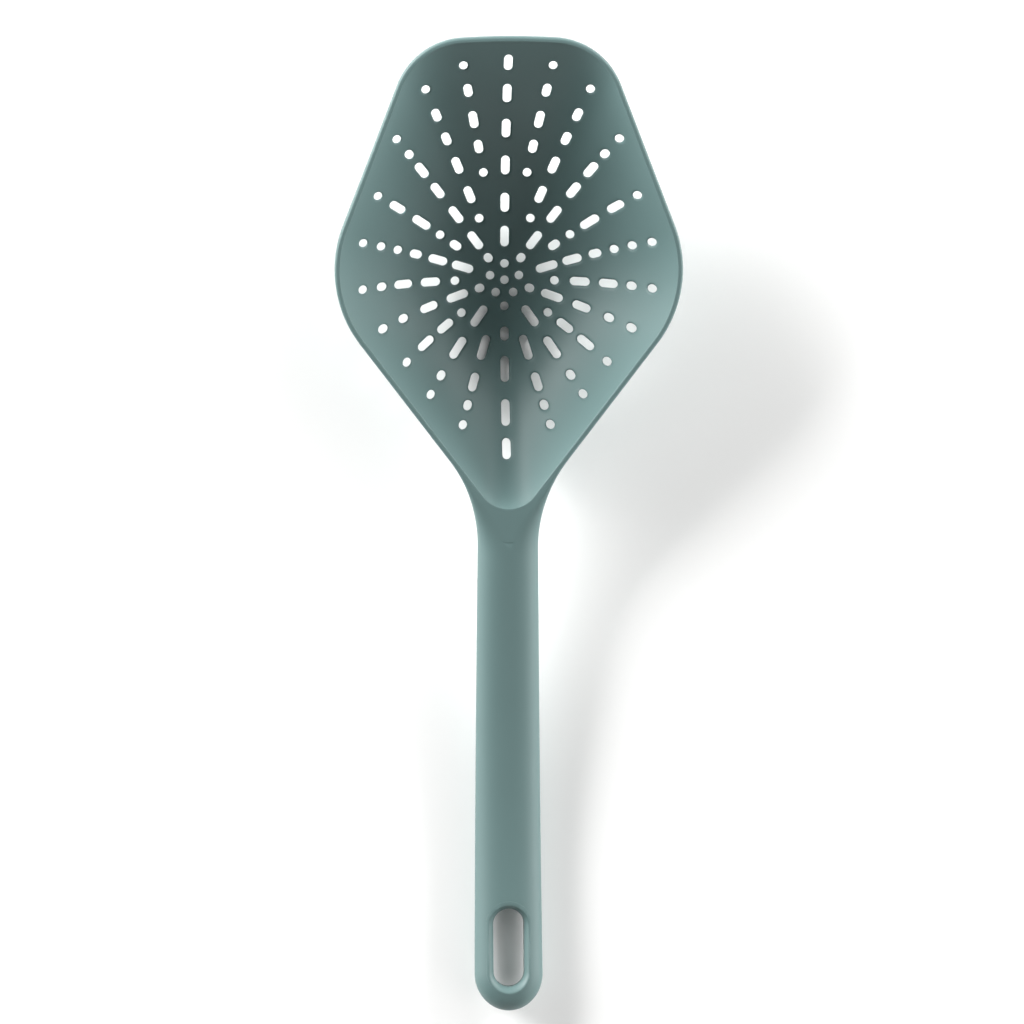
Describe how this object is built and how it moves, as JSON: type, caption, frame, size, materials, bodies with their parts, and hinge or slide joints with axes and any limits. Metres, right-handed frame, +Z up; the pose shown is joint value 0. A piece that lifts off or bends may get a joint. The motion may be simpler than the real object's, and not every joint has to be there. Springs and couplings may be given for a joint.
{
  "type": "skimmer",
  "caption": "Perforated scoop skimmer with a deep kite-shaped bowl, a thin rim band and a long rounded hollow handle with an oval hanging slot.",
  "frame": {"origin": "middle of the whole tool's length and width, on the table it lies on", "axes": "+Z up as the tool rests by itself, +Y along the tool from the handle's end towards the bowl's front lip, +X to the right of someone holding the handle"},
  "size_m": [0.1248, 0.3499, 0.0553],
  "materials": {
    "sage_nylon": "soft satin, moulded",
    "glass_filled_nylon": "dull, moulded, hidden in the handle"
  },
  "bodies": {
    "root": {"bowl": "sage_nylon", "rim_frame": "sage_nylon", "handle_back_shell": "sage_nylon", "handle_core": "glass_filled_nylon", "slot_sleeve": "sage_nylon"}
  },
  "joints": []
}
